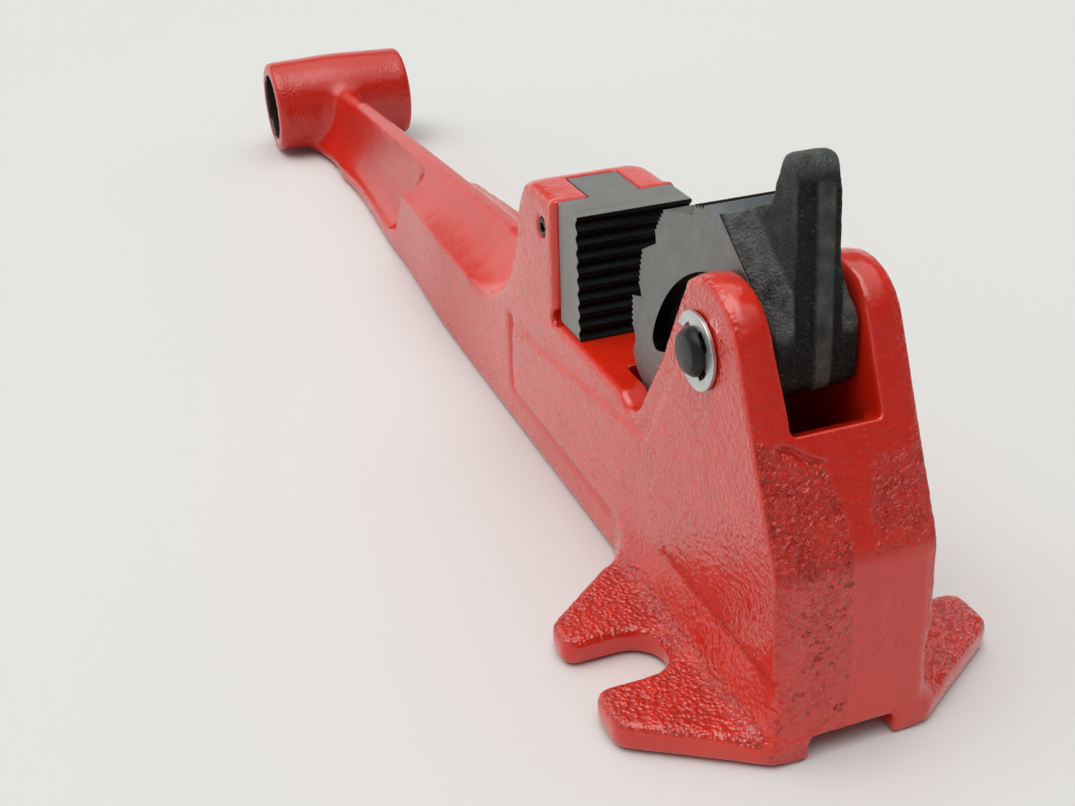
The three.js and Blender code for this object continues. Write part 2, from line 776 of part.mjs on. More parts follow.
// E ring: open towards the jaw, bearing on the groove with three prongs.
function ringGeometry(side) {
  const outer = ringDiameter / 2;
  const relief = ringPocket / 2;
  const seat = pinDiameter / 2 - grooveDepth + runningGap / 2;
  const mouthDeg = THREE.MathUtils.radToDeg(Math.asin(ringMouth / 2 / outer));
  const prong = THREE.MathUtils.radToDeg(Math.asin(ringProngWidth / 2 / seat)) / 2;
  const start = 180 + mouthDeg;
  const end = 180 - mouthDeg;
  const lipDeg = THREE.MathUtils.radToDeg(Math.asin(ringMouth / 2 / relief));
  const points = [
    ...arc(0, 0, outer, end, start - 360, 30),
    ...arc(0, 0, relief, 180 + lipDeg - 360, -90 - prong * prongRootShare, 3),
    ...arc(0, 0, seat, -90 - prong, -90 + prong, 2),
    ...arc(0, 0, relief, -90 + prong * prongRootShare, -prong * prongRootShare, 5),
    ...arc(0, 0, seat, -prong, prong, 2),
    ...arc(0, 0, relief, prong * prongRootShare, 90 - prong * prongRootShare, 5),
    ...arc(0, 0, seat, 90 - prong, 90 + prong, 2),
    ...arc(0, 0, relief, 90 + prong * prongRootShare, 180 - lipDeg, 3),
  ];
  const face = side * (earWidth / 2 + seatGap + ringThickness / 2);
  return extruded(points, ringThickness).rotateX(Math.PI / 2)
    .translate(0, face + ringThickness / 2, pinHeight);
}

// Assembly

function addMesh(parent, name, geometry, colour, roughness, metalness) {
  const material = new THREE.MeshStandardMaterial({ color: colour, roughness, metalness });
  const mesh = new THREE.Mesh(geometry, material);
  mesh.name = name;
  parent.add(mesh);
  return mesh;
}

const group = new THREE.Group();
group.position.x = (bossReach + bossDiameter / 2 - nearReach) / 2;

addMesh(group, 'body_casting', geometryOf(bodySolid()), 0xc4161c, 0.35, 0.0);
addMesh(group, 'fixed_jaw', geometryOf(jawSolid()), 0x4a4d4f, 0.45, 0.8);
addMesh(group, 'jaw_roll_pin', rollPinGeometry(), 0x1c1d1f, 0.4, 0.8);
addMesh(group, 'pivot_pin', pinGeometry(), 0x26282a, 0.4, 0.8);
addMesh(group, 'retaining_ring_front', ringGeometry(-1), 0xc9ced2, 0.3, 1.0);
addMesh(group, 'retaining_ring_rear', ringGeometry(1), 0xc9ced2, 0.3, 1.0);

const lever = addMesh(group, 'cam_lever', geometryOf(camSolid()), 0x3a3d3f, 0.6, 0.6);
lever.position.z = pinHeight;

export default group;
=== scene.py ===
import math

import bmesh
import bpy
import numpy as np
from mathutils import Matrix, Vector, noise

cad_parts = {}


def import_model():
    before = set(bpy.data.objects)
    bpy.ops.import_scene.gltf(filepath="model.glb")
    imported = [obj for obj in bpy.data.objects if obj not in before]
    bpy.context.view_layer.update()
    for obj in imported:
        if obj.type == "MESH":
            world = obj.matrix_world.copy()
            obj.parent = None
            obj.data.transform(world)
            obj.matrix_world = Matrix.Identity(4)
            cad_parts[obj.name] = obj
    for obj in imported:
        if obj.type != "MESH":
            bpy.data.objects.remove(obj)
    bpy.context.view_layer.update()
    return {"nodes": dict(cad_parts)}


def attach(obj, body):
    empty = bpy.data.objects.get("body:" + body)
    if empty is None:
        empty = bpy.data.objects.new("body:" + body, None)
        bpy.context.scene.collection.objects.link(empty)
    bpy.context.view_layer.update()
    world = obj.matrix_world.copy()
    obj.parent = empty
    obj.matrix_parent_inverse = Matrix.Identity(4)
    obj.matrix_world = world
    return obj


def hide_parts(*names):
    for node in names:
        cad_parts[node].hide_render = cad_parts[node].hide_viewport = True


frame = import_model()
nodes = frame["nodes"]

MM = 0.001
# Places in millimetres. PIN_X is in the frame of the file, and the rest are from the pin and the ground.
PIN_X = 193.25
PIN_Z = 75.8
PIN_RADIUS = 5.0
EAR_HALF = 17.7
BOSS_X = -402.6
BOSS_Z = 20.2
BORE_RADIUS = 14
ARM_TO_BASE = (-180, -110)
FACE_PATCH_TOP = 44
PANEL_END_X = -117.3
PANEL_FOOT_Z = 11.0
BODY_VOXEL = 0.5
LEVER_VOXEL = 0.36


# Mesh tools. Shapes are worked out in millimetres from the pin axis in X, and from the ground in Z.

def link(name, mesh):
    obj = bpy.data.objects.new(name, mesh)
    bpy.context.scene.collection.objects.link(obj)
    return obj


def baked(obj):
    """The mesh of obj with its modifiers applied. The object itself is removed."""
    deps = bpy.context.evaluated_depsgraph_get()
    mesh = bpy.data.meshes.new_from_object(obj.evaluated_get(deps))
    bpy.data.objects.remove(obj)
    return mesh


def solid_copy(node, name):
    mesh = nodes[node].data.copy()
    mesh.transform(nodes[node].matrix_world)
    mesh.transform(Matrix.Translation((-PIN_X * MM, 0, 0)))
    mesh.materials.clear()
    bm = bmesh.new()
    bm.from_mesh(mesh)
    bmesh.ops.remove_doubles(bm, verts=bm.verts, dist=1e-6)
    bm.to_mesh(mesh)
    bm.free()
    return link(name, mesh)


def remeshed(obj, voxel):
    mod = obj.modifiers.new("voxels", "REMESH")
    mod.mode = "VOXEL"
    mod.voxel_size = voxel * MM
    return baked(obj)


def bevelled(obj, width, angle):
    """The mesh of obj with a bevel on each edge that turns more than the angle in degrees."""
    mod = obj.modifiers.new("edges", "BEVEL")
    mod.width = width * MM
    mod.segments = 2
    mod.limit_method = "ANGLE"
    mod.angle_limit = math.radians(angle)
    return baked(obj)


def join_flats(bm):
    bmesh.ops.dissolve_limit(bm, angle_limit=math.radians(1.0), verts=bm.verts, edges=bm.edges)


def points_of(mesh):
    flat = np.empty(len(mesh.vertices) * 3)
    mesh.vertices.foreach_get("co", flat)
    return flat.reshape(-1, 3) / MM


def normals_of(mesh):
    flat = np.empty(len(mesh.vertices) * 3)
    mesh.vertices.foreach_get("normal", flat)
    return flat.reshape(-1, 3)


def set_points(mesh, points):
    mesh.vertices.foreach_set("co", (points * MM).ravel())
    mesh.update()


def relax(mesh, weight, rounds):
    """Draw each point towards the middle of its neighbours, by a weight from 0 to 1 at each point."""
    count = len(mesh.vertices)
    co = points_of(mesh)
    edges = np.empty(len(mesh.edges) * 2, dtype=np.int64)
    mesh.edges.foreach_get("vertices", edges)
    a, b = edges.reshape(-1, 2).T
    use = (weight[a] > 0) | (weight[b] > 0)
    a, b = a[use], b[use]
    degree = np.maximum(np.bincount(a, minlength=count) + np.bincount(b, minlength=count), 1)
    for _ in range(rounds):
        for axis in range(3):
            column = co[:, axis]
            total = np.bincount(a, column[b], count) + np.bincount(b, column[a], count)
            co[:, axis] += 0.5 * weight * (total / degree - column)
    set_points(mesh, co)


def ramp(value, start, end):
    """A smooth step from 0 at start to 1 at end."""
    t = np.clip((value - start) / (end - start), 0.0, 1.0)
    return t * t * (3 - 2 * t)


def band(value, low, high, soft):
    """1 between low and high, and 0 further than soft outside."""
    return ramp(value, low - soft, low) * (1 - ramp(value, high, high + soft))


def waves(points, size, seed):
    """Smooth noise from -1 to 1 at each point, with features about size millimetres wide."""
    shift = Vector((seed * 7.3, seed * 3.1, seed * 5.7))
    return np.array([noise.noise(Vector(p) / size + shift) for p in points])


def store(mesh, name, values):
    layer = mesh.attributes.new(name, "FLOAT", "POINT")
    layer.data.foreach_set("value", np.ascontiguousarray(values, dtype=np.float32))


def placed(obj, smooth=True):
    obj.location = (PIN_X * MM, 0, 0)
    if smooth:
        obj.data.polygons.foreach_set("use_smooth", [True] * len(obj.data.polygons))
    return obj


def finish_piece(obj, body, slot, *replaced):
    """Put a piece on its body and hide the solids that it stands for. The slot is not used."""
    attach(obj, body)
    if replaced:
        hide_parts(*replaced)


# Materials

class Nodes:
    """A short way to build a node tree."""

    def __init__(self, name):
        self.material = bpy.data.materials.new(name)
        self.material.use_nodes = True
        self.tree = self.material.node_tree
        self.tree.nodes.clear()
        self.out = self.tree.nodes.new("ShaderNodeOutputMaterial")
        self.bsdf = self.tree.nodes.new("ShaderNodeBsdfPrincipled")
        self.tree.links.new(self.bsdf.outputs[0], self.out.inputs[0])
        self.coords = self.tree.nodes.new("ShaderNodeTexCoord").outputs["Object"]

    def set(self, **values):
        for key, value in values.items():
            self.bsdf.inputs[key.replace("_", " ")].default_value = value

    def link(self, source, target):
        self.tree.links.new(source, target)

    def new(self, kind, **settings):
        node = self.tree.nodes.new(kind)
        for key, value in settings.items():
            setattr(node, key, value)
        return node

    def scaled(self, x, y, z):
        node = self.new("ShaderNodeMapping")
        node.inputs["Scale"].default_value = (x, y, z)
        self.link(self.coords, node.inputs["Vector"])
        return node.outputs[0]

    def noise(self, scale, detail=3.0, rough=0.5, distortion=0.0, vector=None):
        node = self.new("ShaderNodeTexNoise")
        node.inputs["Scale"].default_value = scale
        node.inputs["Detail"].default_value = detail
        node.inputs["Roughness"].default_value = rough
        node.inputs["Distortion"].default_value = distortion
        self.link(vector or self.coords, node.inputs["Vector"])
        return node.outputs["Fac"]

    def cells(self, scale, feature="SMOOTH_F1", smooth=0.6):
        node = self.new("ShaderNodeTexVoronoi", feature=feature)
        node.inputs["Scale"].default_value = scale
        if feature == "SMOOTH_F1":
            node.inputs["Smoothness"].default_value = smooth
        self.link(self.coords, node.inputs["Vector"])
        return node.outputs["Distance"]

    def fit(self, value, low, high, to_low=0.0, to_high=1.0):
        node = self.new("ShaderNodeMapRange")
        node.inputs["From Min"].default_value = low
        node.inputs["From Max"].default_value = high
        node.inputs["To Min"].default_value = to_low
        node.inputs["To Max"].default_value = to_high
        self.link(value, node.inputs["Value"])
        return node.outputs[0]

    def math(self, operation, a, b):
        node = self.new("ShaderNodeMath", operation=operation)
        for socket, value in zip(node.inputs, (a, b)):
            if isinstance(value, (int, float)):
                socket.default_value = value
            else:
                self.link(value, socket)
        return node.outputs[0]

    def attribute(self, name):
        return self.new("ShaderNodeAttribute", attribute_name=name).outputs["Fac"]

    def mix(self, factor, a, b):
        node = self.new("ShaderNodeMix", data_type="RGBA")
        self.link(factor, node.inputs["Factor"])
        for socket, value in zip([s for s in node.inputs if s.type == "RGBA"], (a, b)):
            if isinstance(value, tuple):
                socket.default_value = (*value, 1.0)
            else:
                self.link(value, socket)
        return [s for s in node.outputs if s.type == "RGBA"][0]

    def bump(self, height, distance, strength=1.0, normal=None):
        node = self.new("ShaderNodeBump")
        node.inputs["Distance"].default_value = distance
        if isinstance(strength, float):
            node.inputs["Strength"].default_value = strength
        else:
            self.link(strength, node.inputs["Strength"])
        self.link(height, node.inputs["Height"])
        if normal is not None:
            self.link(normal, node.inputs["Normal"])
        return node.outputs[0]


PAINT_DEEP, PAINT_BRIGHT = (0.67, 0.018, 0.006), (0.74, 0.025, 0.008)
PAINT_DULL = (0.58, 0.015, 0.005)
# The dark red of the painted shade in the valleys, hollows and pores.
PAINTED_SHADE = (0.27, 0.008, 0.003)
# A darker brown for the inside of the boss bore.
DARK_BORE = (0.035, 0.016, 0.013)


def enamel():
    """Glossy red enamel over a sand casting, rough or dull where the attributes of the mesh say, with
    painted shade in the valleys of the grain, the hollows of the lumps and the pores.
    """
    m = Nodes("red_enamel")
    grain = m.attribute("grain")
    lumps = m.attribute("lumps")
    pores = m.attribute("pores")
    dull = m.attribute("dull")
    wrinkle = m.noise(850, 1.5, 0.5)
    bead = m.fit(m.cells(900, smooth=0.35), 0.05, 0.62, 1.0, 0.0)
    pebbles = m.math("ADD", m.math("MULTIPLY", wrinkle, 0.9), m.math("MULTIPLY", bead, 0.7))
    boil = m.fit(m.noise(720, 2, 0.5, 0.7), 0.36, 0.64)
    holes = m.fit(m.cells(620, "F1"), 0.1, 0.42)

    cloud = m.fit(m.noise(40, 3), 0.35, 0.65)
    paint = m.mix(cloud, PAINT_DEEP, PAINT_BRIGHT)
    paint = m.mix(dull, paint, PAINT_DULL)
    # Painted shade: the colour turns darker in the valleys of the grain, the hollows of the lumps and the
    # pores.
    valley_shade = m.math("MULTIPLY", m.fit(pebbles, 0.55, 0.85, 0.6, 0.0), grain)
    hollow_shade = m.math("MULTIPLY", m.fit(boil, 0.0, 0.45, 0.4, 0.0), lumps)
    pore_shade = m.math("MULTIPLY", m.fit(holes, 0.0, 0.5, 0.8, 0.0), pores)
    painted_shade = m.math("MAXIMUM", m.math("MAXIMUM", valley_shade, hollow_shade), pore_shade)
    paint = m.mix(painted_shade, paint, PAINTED_SHADE)
    # The inside of the bore is darker.
    paint = m.mix(m.attribute("bore"), paint, DARK_BORE)
    m.link(paint, m.bsdf.inputs["Base Color"])

    m.set(Metallic=0.0, IOR=1.55, Coat_IOR=1.5, Coat_Roughness=0.13)
    m.link(m.fit(dull, 0.0, 1.0, 0.5, 0.0), m.bsdf.inputs["Coat Weight"])
    rough = m.math("ADD", m.fit(m.noise(260, 2), 0.3, 0.7, 0.09, 0.15), m.math("MULTIPLY", dull, 0.16))
    m.link(rough, m.bsdf.inputs["Roughness"])
    fine = m.bump(pebbles, 0.00055, grain)
    pocked = m.bump(holes, 0.0009, pores, m.bump(boil, 0.0010, lumps, fine))
    normal = m.bump(m.noise(150, 2), 0.0005, 0.3, pocked)
    m.link(normal, m.bsdf.inputs["Normal"])
    m.link(normal, m.bsdf.inputs["Coat Normal"])
    return m.material


def black_casting():
    """Rough black cast iron, shinier and lighter where the attribute says: partly wear, partly a painted
    highlight.
    """
    m = Nodes("black_casting")
    rubbed_and_sheen = m.attribute("rubbed_and_sheen")
    speck = m.fit(m.noise(1700, 2, 0.6), 0.58, 0.7)
    tone = m.mix(m.fit(m.noise(160, 3), 0.35, 0.7), (0.006, 0.0075, 0.007), (0.010, 0.012, 0.011))
    # Partly wear and partly a painted highlight: the colour turns lighter where the attribute says.
    tone = m.mix(rubbed_and_sheen, tone, (0.125, 0.138, 0.132))
    m.link(m.mix(m.math("MULTIPLY", speck, 0.3), tone, (0.14, 0.145, 0.14)), m.bsdf.inputs["Base Color"])
    # The level set here is what an export keeps, as it drops the link.
    m.set(Metallic=0.0, IOR=1.5, Specular_IOR_Level=0.3)
    m.link(m.fit(rubbed_and_sheen, 0.0, 1.0, 0.16, 0.9), m.bsdf.inputs["Specular IOR Level"])
    m.link(m.fit(m.noise(400, 3), 0.3, 0.7, 0.30, 0.44), m.bsdf.inputs["Roughness"])
    grain = m.math("ADD", m.noise(1800, 3, 0.6), m.math("MULTIPLY", m.cells(1600), 0.6))
    m.link(m.bump(grain, 0.0026, m.attribute("coarse")), m.bsdf.inputs["Normal"])
    return m.material


def ground_steel(name, colour, across=(60.0, 900.0, 900.0)):
    """Ground grey steel: fine parallel scratches and soft cloudy stains."""
    m = Nodes(name)
    scratch = m.noise(1.0, 4, 0.7, 0.2, m.scaled(*across))
    stain = m.fit(m.noise(90, 4, 0.6), 0.35, 0.68)
    dark = tuple(c * 0.72 for c in colour)
    light = tuple(c * 1.12 for c in colour)
    tone = m.mix(m.fit(scratch, 0.3, 0.7), dark, light)
    m.link(m.mix(m.math("MULTIPLY", stain, 0.35), tone, dark), m.bsdf.inputs["Base Color"])
    m.set(Metallic=0.6, IOR=1.5)
    m.link(m.fit(scratch, 0.3, 0.7, 0.38, 0.52), m.bsdf.inputs["Roughness"])
    m.link(m.bump(scratch, 0.00004, 0.5), m.bsdf.inputs["Normal"])
    return m.material


def black_oxide(name="black_oxide", base=(0.006, 0.0065, 0.0065), shine=0.45):
    """Thin black finish, a little worn."""
    m = Nodes(name)
    worn = m.fit(m.noise(700, 4, 0.7), 0.56, 0.78)
    m.link(m.mix(worn, base, tuple(5 * c for c in base)), m.bsdf.inputs["Base Color"])
    m.set(Metallic=0.3, IOR=1.5, Specular_IOR_Level=shine)
    m.link(m.fit(m.noise(300, 3), 0.3, 0.7, 0.3, 0.45), m.bsdf.inputs["Roughness"])
    m.link(m.bump(m.noise(1800, 3, 0.6), 0.00006, 0.6), m.bsdf.inputs["Normal"])
    return m.material


def bright_zinc():
    """Bright plated spring steel with a faint haze."""
    m = Nodes("bright_zinc")
    haze = m.fit(m.noise(500, 3), 0.35, 0.7)
    m.link(m.mix(haze, (0.52, 0.55, 0.56), (0.68, 0.70, 0.70)), m.bsdf.inputs["Base Color"])
    m.set(Metallic=0.9, IOR=1.5)
    m.link(m.fit(m.noise(800, 3), 0.3, 0.7, 0.25, 0.4), m.bsdf.inputs["Roughness"])
    m.link(m.bump(m.noise(2500, 2), 0.00003, 0.5), m.bsdf.inputs["Normal"])
    return m.material


# Casting

def rough_patches(x, y, z, near_face):
    """How lumpy the near face is: a wide patch on the left, a smooth strip, and a patch on the right."""
    left_edge = -0.8 - 2.6 * ramp(z, 50, 61)
    diagonal = 60.2 - 0.52 * (y + 3)
    left = (1 - ramp(y, left_edge - 1, left_edge + 0.4)) * (1 - ramp(z, diagonal - 1.2, diagonal))
    right = ramp(y, 2.6 + 2 * ramp(z, 50, 60), 4.6 + 2 * ramp(z, 50, 60)) * band(z, 44, 59.5, 2.0)
    low_right = 0.25 * band(y, 4, 9, 2) * band(z, 20, 36, 4)
    below = 1 - 0.45 * (1 - ramp(z, 38, 44))
    return near_face * np.maximum.reduce([left * below, 0.8 * right, low_right])


def rounded_casting():
    """The solid of the casting as a fine mesh, with its edges rounded and its roots blended."""
    mesh = remeshed(solid_copy("body_casting", "casting_source"), BODY_VOXEL)
    co = points_of(mesh)
    x, y, z = co.T
    side = np.abs(y)
    relax(mesh, np.ones(len(co)), 3)

    boss_root = band(x, -390, -360, 10) * (side < 26)
    tower_foot = band(x, -150, -108, 8) * band(z, 26, 60, 6)
    ridge = band(x, -380, -290, 8) * ramp(z, 20, 28)
    lug_root = band(side, 17.6, 23, 2) * band(z, 6, 14, 2) * ramp(x, -46, -38)
    lug_tip = ramp(side, 21, 25) * (z < 20)
    ear_edge = band(side, 8.5, 12.5, 1.5) * ramp(z, 70, 84) * band(x, -16, 22, 3)
    tower_top = ramp(z, 70, 75) * (x < -84) * ramp(side, 11, 14)
    far_corner = tower_top * ramp(y, 10, 13)
    relax(mesh, boss_root, 170)
    relax(mesh, np.clip(np.maximum.reduce([boss_root, lug_root, tower_foot, far_corner]), 0, 1), 85)
    relax(mesh, np.clip(np.maximum.reduce([ridge, ear_edge, tower_top]), 0, 1), 34)
    gusset_top = band(z, 15, 22, 2) * ramp(x, -50, -46) * ramp(side, 15, 16.5)
    relax(mesh, lug_tip, 8)
    relax(mesh, gusset_top, 30)
    return mesh


def scar(y, z, near_face, wander):
    """A wavy scar over the top of the left patch: a low lip over a narrow groove."""
    line = z - 61.0 + (y + 4.4) * 0.46 + 0.9 * wander
    along = band(y, -12.0, -5.0, 2.0) * near_face
    return along * (0.45 * np.exp(-((line - 1.1) / 0.9) ** 2) - 0.90 * np.exp(-(line / 0.65) ** 2))


def panel_grooves(x, z, outer):
    """Shallow grooves mark the end and the foot of the raised panel."""
    panel_end = 2.6 * np.exp(-((x - PANEL_END_X) / 1.9) ** 2) * band(z, 13, 33, 3)
    panel_foot = 1.3 * np.exp(-((z - PANEL_FOOT_Z) / 1.7) ** 2) * band(x, -116, -48, 3)
    return 0.45 * outer * np.maximum(panel_end, panel_foot)


def casting():
    """The dressed casting, with attributes that tell the enamel how rough or dull each place is, where
    painted shade darkens it, and where the bore is darker.
    """
    mesh = rounded_casting()
    co = points_of(mesh)
    normal = normals_of(mesh)
    x, y, z = co.T
    side = np.abs(y)
    outer = ramp(side, 15.2, 16.6)
    on_base = ramp(x, *ARM_TO_BASE)
    base_side = 0.42 * outer * on_base * (0.7 + 0.3 * ramp(x, -70, -20)) * (1 - 0.85 * ramp(side, 18.5, 20))
    lugs = ramp(side, 17.9, 19.5) * (z < 24) * (x > -60) * ramp(normal[:, 2], 0.2, 0.5)
    near_face = ramp(normal[:, 0], 0.45, 0.75) * (x > 8) * (side < EAR_HALF + 1)
    beam_side = 0.2 * outer * (1 - on_base)
    grain = np.maximum.reduce([base_side, lugs, 0.22 * near_face, beam_side])
    crown = ramp(z, 80, 88) * (x > -20)
    grain = np.maximum(grain * (1 - 0.7 * crown * (1 - outer)), 0.05)
    patches = 0.85 + 0.4 * waves(co, 9.0, 3)
    store(mesh, "grain", np.clip(grain * patches, 0, 1))
    lumps = rough_patches(x, y, z, near_face)
    store(mesh, "lumps", np.clip(lumps * (0.8 + 0.5 * waves(co, 5.0, 8)), 0, 1))
    pores = near_face * (1 - ramp(y, -1.6, -0.4)) * band(z, 9, 42, 2.5)
    store(mesh, "pores", np.clip(pores * (0.6 + 0.9 * waves(co, 4.0, 7)), 0, 1))
    dull_face = near_face * ramp(z, FACE_PATCH_TOP - 4, FACE_PATCH_TOP)
    store(mesh, "dull", np.maximum(0.8 * (1 - on_base), dull_face))
    # Inside the bore the colour is darker.
    from_bore = np.hypot(x - BOSS_X, z - BOSS_Z)
    store(mesh, "bore", (from_bore < BORE_RADIUS + 0.5) * (side < 45) * 1.0)

    height = 0.11 * waves(co, 1.5, 1) + 0.09 * waves(co, 5.5, 2)
    machined = (side < 10.2) * (z < 92) * (x > -53)
    height = height * (0.15 + 0.85 * np.clip(grain, 0, 1)) * (1 - machined)
    height = height + lumps * 0.32 * waves(co, 1.35, 9)
    height = height + scar(y, z, near_face, waves(co, 4.0, 11))
    height = height - panel_grooves(x, z, outer)
    set_points(mesh, co + normal * height[:, None])
    return placed(link("casting", mesh))


# Cam lever

# The machined sides end on a straight line in the side view.
EDGE_POINT = np.array([-9.35, 98.9])
EDGE_SLANT = 54
EDGE_NORMAL = np.array([math.cos(math.radians(EDGE_SLANT)), math.sin(math.radians(EDGE_SLANT))])
HUB_SPLIT = 3.2


def cut_by_plane(bm, x, z, slant, keep_far):
    """Cut by a plane through (x, z) that looks slant degrees up from +X, and close the cut."""
    normal = Vector((math.cos(math.radians(slant)), 0, math.sin(math.radians(slant))))
    cut = bmesh.ops.bisect_plane(
        bm, geom=bm.verts[:] + bm.edges[:] + bm.faces[:], dist=1e-7, plane_co=Vector((x, 0, z)) * MM,
        plane_no=normal, clear_outer=not keep_far, clear_inner=keep_far)
    rim = [e for e in cut["geom_cut"] if isinstance(e, bmesh.types.BMEdge)]
    bmesh.ops.holes_fill(bm, edges=rim)
    bmesh.ops.recalc_face_normals(bm, faces=bm.faces)


def beyond_edge(bm, offset, keep_far):
    x, z = EDGE_POINT + EDGE_NORMAL * offset
    cut_by_plane(bm, x, z, EDGE_SLANT, keep_far)


def toothed_plate(ground, black, milled):
    obj = solid_copy("cam_lever", "plate_source")
    bm = bmesh.new()
    bm.from_mesh(obj.data)
    beyond_edge(bm, 0.15, False)
    cut_by_plane(bm, HUB_SPLIT + 0.6, 0, 0, False)
    join_flats(bm)
    bm.to_mesh(obj.data)
    bm.free()
    mesh = bevelled(obj, 0.12, 28)
    mesh.materials.append(ground)
    mesh.materials.append(black)
    mesh.materials.append(milled)
    for face in mesh.polygons:
        centre = face.center / MM
        flank = abs(face.normal.y) > 0.7 and abs(centre.y) > 9.0
        flat_top = face.normal.z > 0.55 and centre.z > 95 and centre.x > -15.2 and abs(face.normal.y) < 0.3
        face.material_index = 0 if flank else 2 if flat_top else 1
    return placed(link("toothed_cam", mesh), False)


def lever_blank():
    """The lever beyond the edge line together with the near side of the hub."""
    whole = solid_copy("cam_lever", "lever_source")
    beyond = bmesh.new()
    beyond.from_mesh(whole.data)
    beyond_edge(beyond, -1.2, True)
    hub = bmesh.new()
    hub.from_mesh(whole.data)
    cut_by_plane(hub, HUB_SPLIT - 0.6, 0, 0, True)
    near_side = bpy.data.meshes.new("near_side")
    hub.to_mesh(near_side)
    beyond.from_mesh(near_side)
    beyond.to_mesh(whole.data)
    hub.free()
    beyond.free()
    return remeshed(whole, LEVER_VOXEL)


def cast_lever(material):
    mesh = lever_blank()
    co = points_of(mesh)
    depth = (co[:, [0, 2]] - EDGE_POINT) @ EDGE_NORMAL
    outside = np.maximum(depth, co[:, 0] - HUB_SPLIT)
    # The overlap with the machined plate lies just inside it.
    inside = 1 - ramp(outside, 0.0, 0.35)
    co[:, 1] *= 1 - 0.035 * inside
    co[:, 2] -= 0.3 * inside * ramp(co[:, 2], 88, 92)
    set_points(mesh, co)
    from_pin = np.hypot(co[:, 0], co[:, 2] - PIN_Z)
    free = ramp(outside, 0.2, 1.2) * ramp(from_pin, 6.5, 8)
    relax(mesh, free, 5)
    relax(mesh, ramp(co[:, 2], 108, 113), 60)
    hub = free * (1 - ramp(co[:, 2], 82, 90)) * ramp(np.abs(co[:, 1] - 0.5), 3.5, 6.5)
    hub_foot = free * (1 - ramp(co[:, 2], 67, 72))
    co = points_of(mesh)
    co[:, 0] += 0.5 * hub * ramp(co[:, 0], 6, 10)
    set_points(mesh, co)
    relax(mesh, np.maximum(hub, hub_foot), 80)
    relax(mesh, free * band(co[:, 2], 96, 106, 3) * (1 - ramp(co[:, 0], 1, 5)), 40)

    co = points_of(mesh)
    normal = normals_of(mesh)
    near = ramp(normal[:, 0], 0.5, 0.8)
    strip = band(co[:, 1], -0.4, 2.9, 0.3) * near * band(co[:, 2], 69, 109, 3)
    height = free * (0.06 * waves(co, 1.3, 5) + 0.10 * waves(co, 3.4, 6)) + 0.42 * strip
    set_points(mesh, co + normal * height[:, None])
    flare = band(depth, 0.6, 5.0, 2.5) * ramp(np.abs(co[:, 1]), 4.9, 5.6) * ramp(co[:, 2], 78, 84)
    flank = ramp(np.abs(normal[:, 1]), 0.6, 0.8) * ramp(depth, 3, 7)
    # Partly wear and partly a painted highlight: the strip, the flare, the flanks and the top of the finger
    # are made shinier and lighter in colour, the lighter colour standing in for the light that falls on
    # them.
    rubbed_and_sheen = np.maximum.reduce([0.36 * strip, 1.0 * flare, 0.13 * flank, 0.4 * ramp(co[:, 2], 110.5, 114)])
    rubbed_and_sheen = rubbed_and_sheen * (0.8 + 0.6 * waves(co, 2.5, 4))
    store(mesh, "rubbed_and_sheen", np.clip(rubbed_and_sheen, 0, 1))
    store(mesh, "coarse", np.clip(np.maximum(0.38 + 0.2 * waves(co, 4.0, 10), flare), 0.2, 1))
    mesh.materials.append(material)
    return placed(link("cast_lever", mesh))


# Pin, rings, jaw

def stamping(name, outline, y_from, y_to):
    """A flat stamping: a side outline (x, z) in millimetres between two places along Y."""
    bm = bmesh.new()
    low = [bm.verts.new((px * MM, y_from * MM, pz * MM)) for px, pz in outline]
    face = bm.faces.new(low)
    moved = bmesh.ops.extrude_face_region(bm, geom=[face])
    verts = [v for v in moved["geom"] if isinstance(v, bmesh.types.BMVert)]
    bmesh.ops.translate(bm, verts=verts, vec=(0, (y_to - y_from) * MM, 0))
    bmesh.ops.recalc_face_normals(bm, faces=bm.faces)
    mesh = bpy.data.meshes.new(name)
    bm.to_mesh(mesh)
    bm.free()
    return bevelled(link(name, mesh), 0.12, 40)


def arc(radius, start, end, steps):
    """Points (x, z) of an arc about the pin, between two angles in degrees."""
    angles = [math.radians(start + (end - start) * i / steps) for i in range(steps + 1)]
    return [(radius * math.cos(a), PIN_Z + radius * math.sin(a)) for a in angles]


def e_ring(name, side, material):
    outer, relief, seat, mouth = 8.0, 5.8, 4.2, 3.2
    open_outer = math.degrees(math.asin(mouth / outer))
    open_inner = math.degrees(math.asin(mouth / relief))
    outline = arc(outer, 180 - open_outer, -180 + open_outer, 56)
    outline += arc(relief, -180 + open_inner, -118, 5)
    for middle in (-90, 0, 90):
        outline += arc(seat, middle - 15, middle + 15, 5)
        if middle < 90:
            outline += arc(relief, middle + 25, middle + 65, 8)
    outline += arc(relief, 118, 180 - open_inner, 5)
    seat_y, outer_y = side * (EAR_HALF + 0.3), side * (EAR_HALF + 1.1)
    mesh = stamping(name, outline, min(seat_y, outer_y), max(seat_y, outer_y))
    mesh.materials.append(material)
    return placed(link(name, mesh), False)


